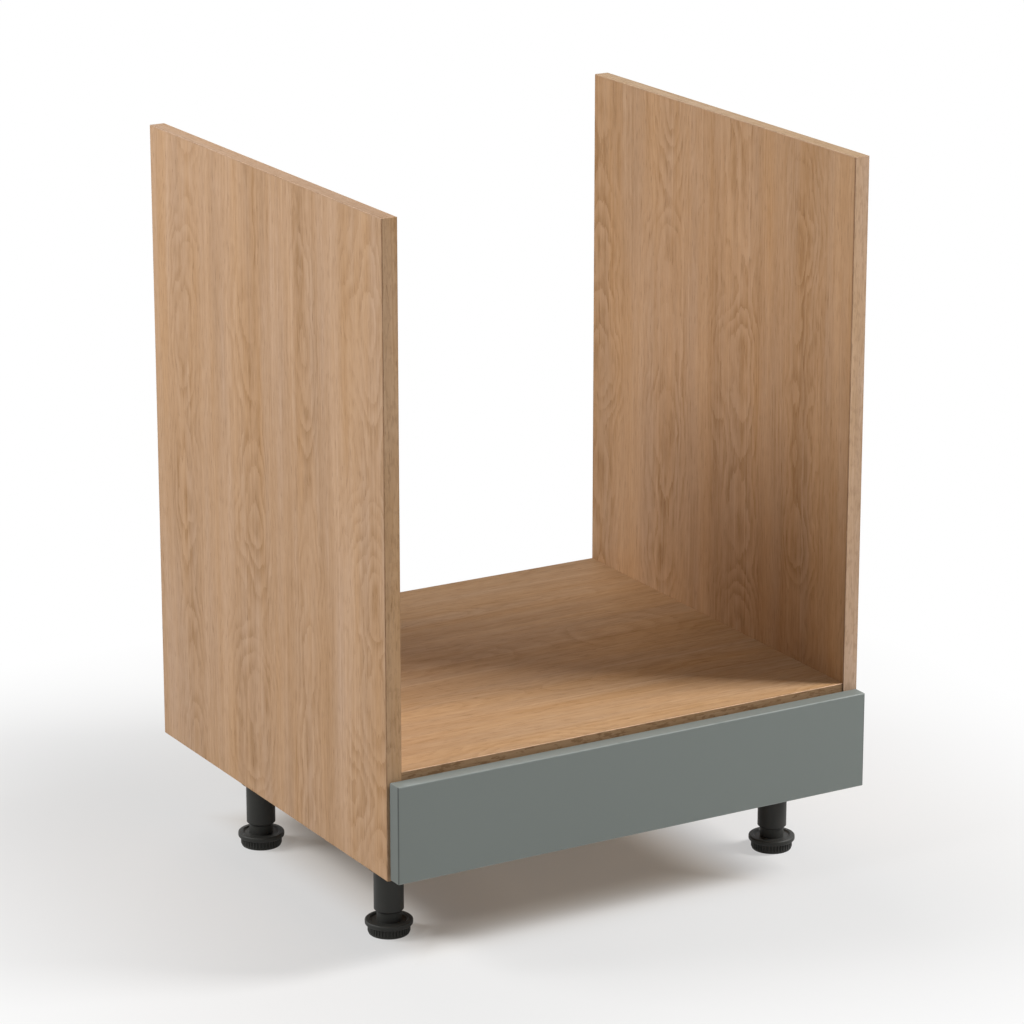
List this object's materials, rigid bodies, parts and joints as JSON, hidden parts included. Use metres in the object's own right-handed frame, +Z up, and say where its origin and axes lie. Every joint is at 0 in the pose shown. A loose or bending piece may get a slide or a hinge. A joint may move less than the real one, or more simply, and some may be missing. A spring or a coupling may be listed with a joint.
{
  "type": "oven housing base cabinet",
  "caption": "Open-topped kitchen base cabinet for a built-under oven, with tall sides, an oven shelf, a fixed low front panel and screw-adjustable legs.",
  "frame": {"origin": "on the floor, in the middle of the cabinet's outline", "axes": "+Z up, -Y towards the front, +X to the right when facing the front"},
  "size_m": [0.6, 0.56, 0.82],
  "materials": {
    "oak_board": "oak-effect melamine, satin",
    "oak_edging": "oak-effect, satin",
    "front_lacquer": "matt grey-green lacquer",
    "leg_plastic": "satin black",
    "zinc_steel": "zinc plated",
    "beech": "plain"
  },
  "bodies": {
    "cabinet": {"left_side_panel": "oak_board", "right_side_panel": "oak_board", "oven_shelf": "oak_board", "base_panel": "oak_board", "rear_rail": "oak_board", "left_front_edging": "oak_edging", "right_front_edging": "oak_edging", "left_top_edging": "oak_edging", "right_top_edging": "oak_edging", "shelf_front_edging": "oak_edging", "base_front_edging": "oak_edging", "front_panel": "front_lacquer", "leg_socket_front_left": "leg_plastic", "leg_socket_front_right": "leg_plastic", "leg_socket_back_left": "leg_plastic", "leg_socket_back_right": "leg_plastic", "leg_tube_front_left": "leg_plastic", "leg_tube_front_right": "leg_plastic", "leg_tube_back_left": "leg_plastic", "leg_tube_back_right": "leg_plastic", "front_bracket_left": "zinc_steel", "front_bracket_right": "zinc_steel", "bracket_side_screws": "zinc_steel", "bracket_front_screws": "zinc_steel", "cam_locks": "zinc_steel", "cam_bolts": "zinc_steel", "socket_screws": "zinc_steel", "dowels": "beech"},
    "disc_front_left": {"foot_disc_front_left": "leg_plastic"},
    "foot_front_left": {"foot_front_left": "leg_plastic"},
    "disc_front_right": {"foot_disc_front_right": "leg_plastic"},
    "foot_front_right": {"foot_front_right": "leg_plastic"},
    "disc_back_left": {"foot_disc_back_left": "leg_plastic"},
    "foot_back_left": {"foot_back_left": "leg_plastic"},
    "disc_back_right": {"foot_disc_back_right": "leg_plastic"},
    "foot_back_right": {"foot_back_right": "leg_plastic"}
  },
  "joints": [
    {"name": "turn_front_left", "type": "hinge", "parent": "disc_front_left", "child": "foot_front_left", "pos_m": [-0.25, -0.17, 0], "axis": [0, 0, -1], "range_deg": [-810, 1890]},
    {"name": "travel_front_left", "type": "slide", "parent": "cabinet", "child": "disc_front_left", "axis": [0, 0, -1], "range_m": [-0.009, 0.021]},
    {"name": "turn_front_right", "type": "hinge", "parent": "disc_front_right", "child": "foot_front_right", "pos_m": [0.25, -0.17, 0], "axis": [0, 0, -1], "range_deg": [-810, 1890]},
    {"name": "travel_front_right", "type": "slide", "parent": "cabinet", "child": "disc_front_right", "axis": [0, 0, -1], "range_m": [-0.009, 0.021]},
    {"name": "turn_back_left", "type": "hinge", "parent": "disc_back_left", "child": "foot_back_left", "pos_m": [-0.25, 0.135, 0], "axis": [0, 0, -1], "range_deg": [-810, 1890]},
    {"name": "travel_back_left", "type": "slide", "parent": "cabinet", "child": "disc_back_left", "axis": [0, 0, -1], "range_m": [-0.009, 0.021]},
    {"name": "turn_back_right", "type": "hinge", "parent": "disc_back_right", "child": "foot_back_right", "pos_m": [0.25, 0.135, 0], "axis": [0, 0, -1], "range_deg": [-810, 1890]},
    {"name": "travel_back_right", "type": "slide", "parent": "cabinet", "child": "disc_back_right", "axis": [0, 0, -1], "range_m": [-0.009, 0.021]}
  ],
  "couplings": [
    {"joint": "turn_front_left", "follows": "travel_front_left", "rad_per_m": 1570.8},
    {"joint": "turn_front_right", "follows": "travel_front_right", "rad_per_m": 1570.8},
    {"joint": "turn_back_left", "follows": "travel_back_left", "rad_per_m": 1570.8},
    {"joint": "turn_back_right", "follows": "travel_back_right", "rad_per_m": 1570.8}
  ]
}
